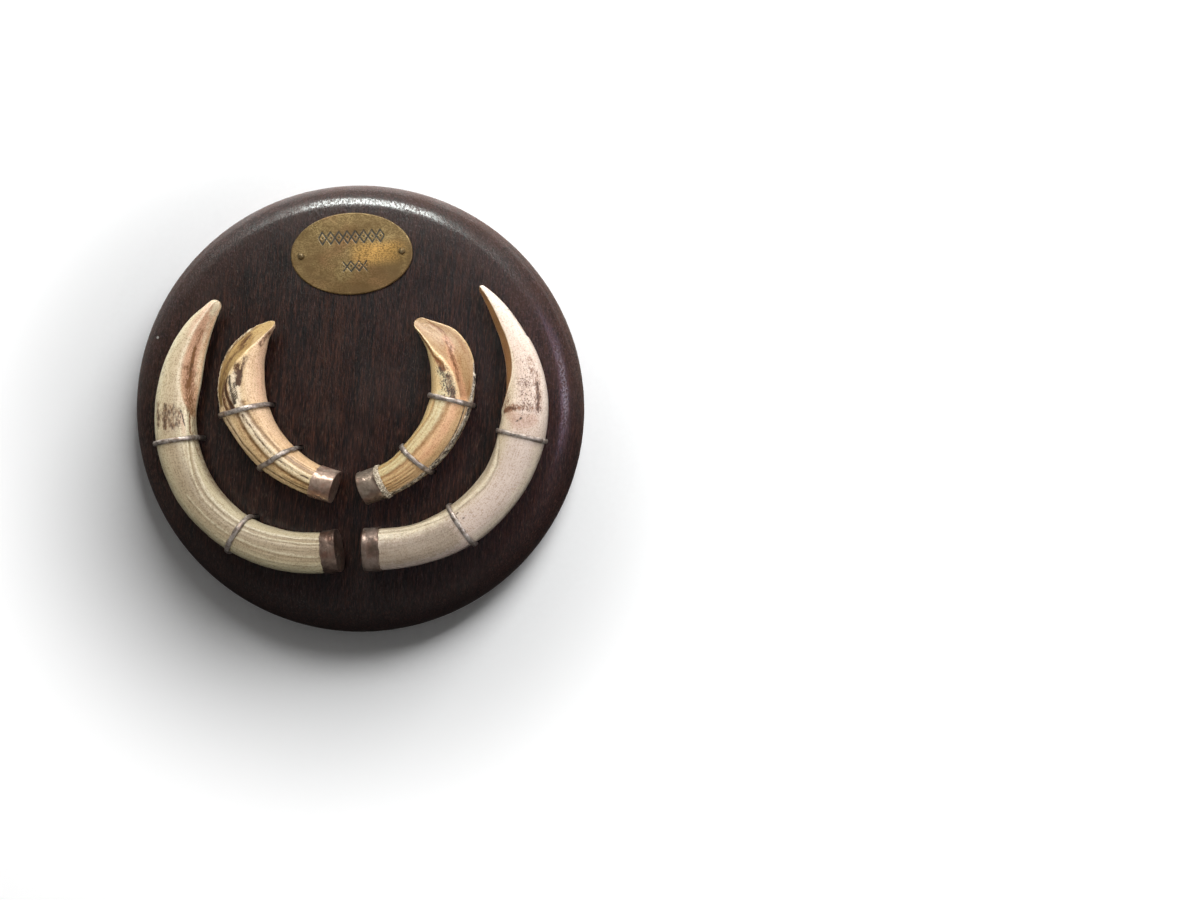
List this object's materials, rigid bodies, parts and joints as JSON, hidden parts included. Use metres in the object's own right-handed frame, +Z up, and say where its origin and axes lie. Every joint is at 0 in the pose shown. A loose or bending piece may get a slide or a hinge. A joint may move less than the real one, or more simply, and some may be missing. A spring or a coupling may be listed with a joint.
{
  "type": "mounted warthog tusk plaque",
  "caption": "Round dark-wood wall plaque with upper and lower pairs of curved, capped warthog tusks wired to its face, and a small oval plate.",
  "frame": {"origin": "middle of the board's flat back face", "axes": "+Z up the wall, +Y out of the back of the board into the wall, so the tusks face -Y; +X is to the right as seen from the front"},
  "size_m": [0.227, 0.0429, 0.227],
  "materials": {
    "dark_wood": "stained very dark purplish brown, open pores, old semi-gloss varnish",
    "outer_ivory": "polished ivory, cream to tan, with fine grooves and brown stains",
    "inner_ivory": "polished ivory, ochre to tan, ridged, with brown stains and cracks",
    "cap_metal": "tarnished sheet silver, dark brownish grey",
    "wire_metal": "tarnished flattened wire",
    "filler": "pale, crumbly old filler",
    "plate_brass": "aged brass with patchy dark tarnish"
  },
  "bodies": {
    "root": {"board": "dark_wood", "outer_tusk_left": "outer_ivory", "outer_tusk_right": "outer_ivory", "inner_tusk_left": "inner_ivory", "inner_tusk_right": "inner_ivory", "outer_cap_left": "cap_metal", "outer_cap_right": "cap_metal", "inner_cap_left": "cap_metal", "inner_cap_right": "cap_metal", "inner_right_filler": "filler", "outer_left_hoop_upper": "wire_metal", "outer_left_hoop_lower": "wire_metal", "outer_right_hoop_upper": "wire_metal", "outer_right_hoop_lower": "wire_metal", "inner_left_hoop_upper": "wire_metal", "inner_left_hoop_lower": "wire_metal", "inner_right_hoop_upper": "wire_metal", "inner_right_hoop_lower": "wire_metal", "name_plate": "plate_brass", "plate_pin_left": "plate_brass", "plate_pin_right": "plate_brass"}
  },
  "joints": []
}
